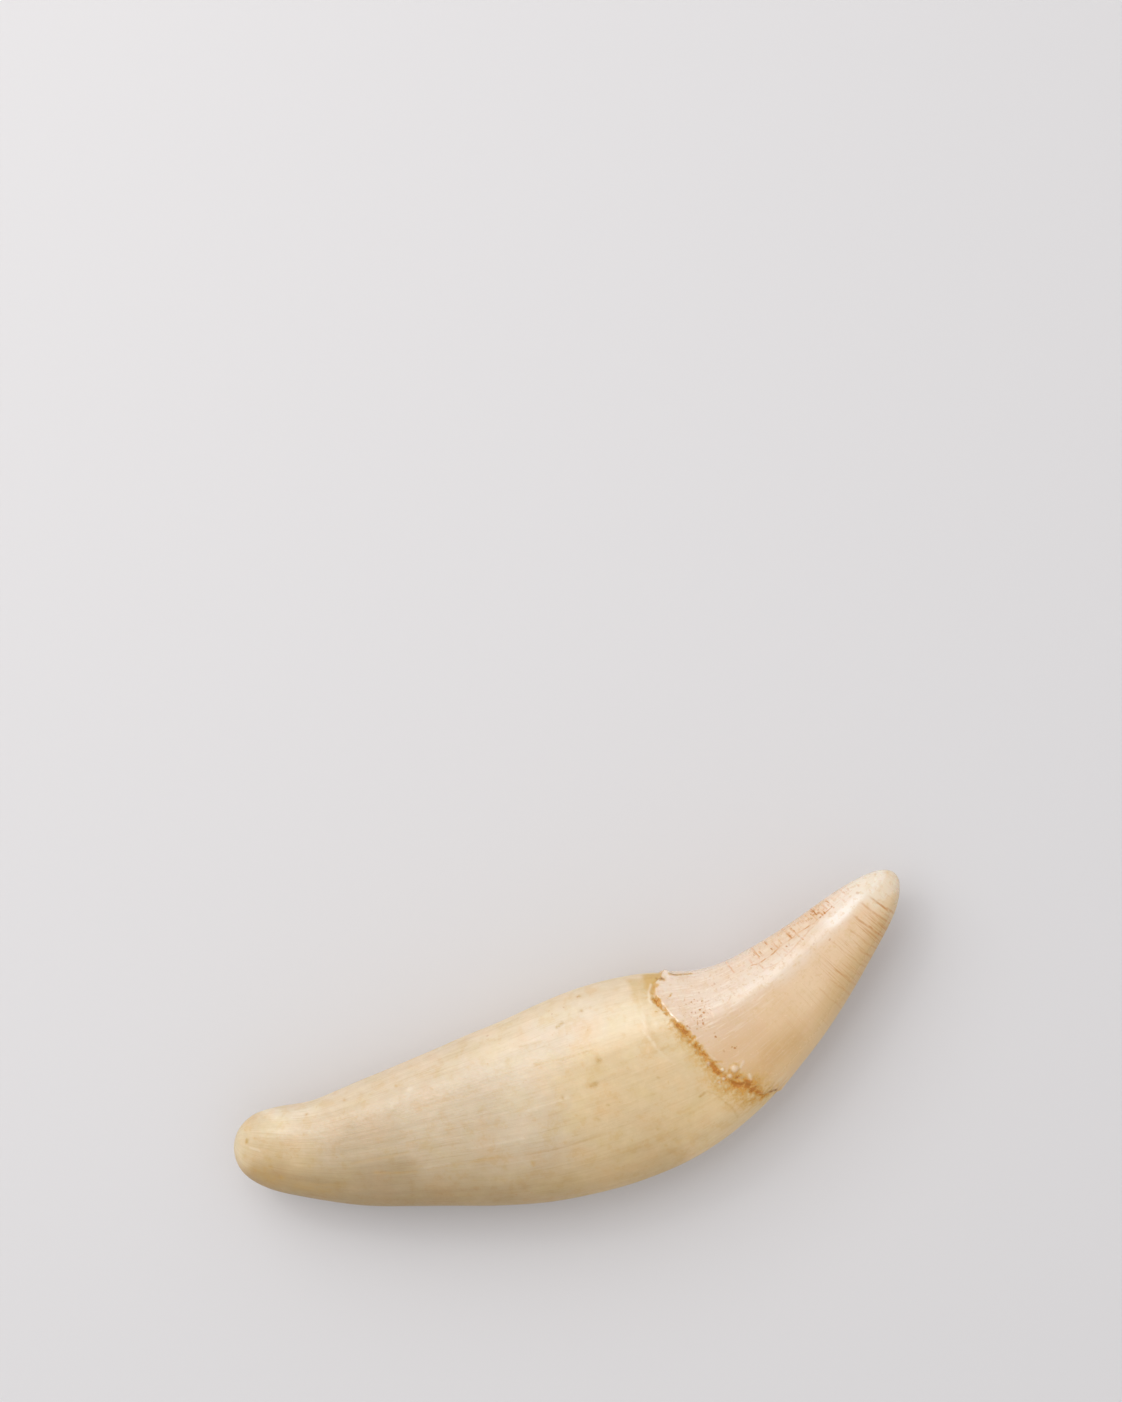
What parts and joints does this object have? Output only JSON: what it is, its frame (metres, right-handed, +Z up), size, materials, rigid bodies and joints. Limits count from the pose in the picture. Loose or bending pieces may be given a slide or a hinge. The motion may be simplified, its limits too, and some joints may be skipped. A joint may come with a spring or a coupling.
{
  "type": "bear tooth",
  "caption": "Loose canine tooth of a black bear, lying on its side: a long oval root with a blunt apex, and a bowed, round-tipped crown whose enamel edge stands a little proud at the neck.",
  "frame": {"origin": "on the surface that the tooth lies on, under the middle of its box", "axes": "+X from the root's apex to the crown's tip, +Y towards the hollow side of the bow, +Z up through the flank"},
  "size_m": [0.0594, 0.0174, 0.0103],
  "materials": {
    "tooth": "satin"
  },
  "bodies": {
    "root": {"tooth": "tooth"}
  },
  "joints": []
}
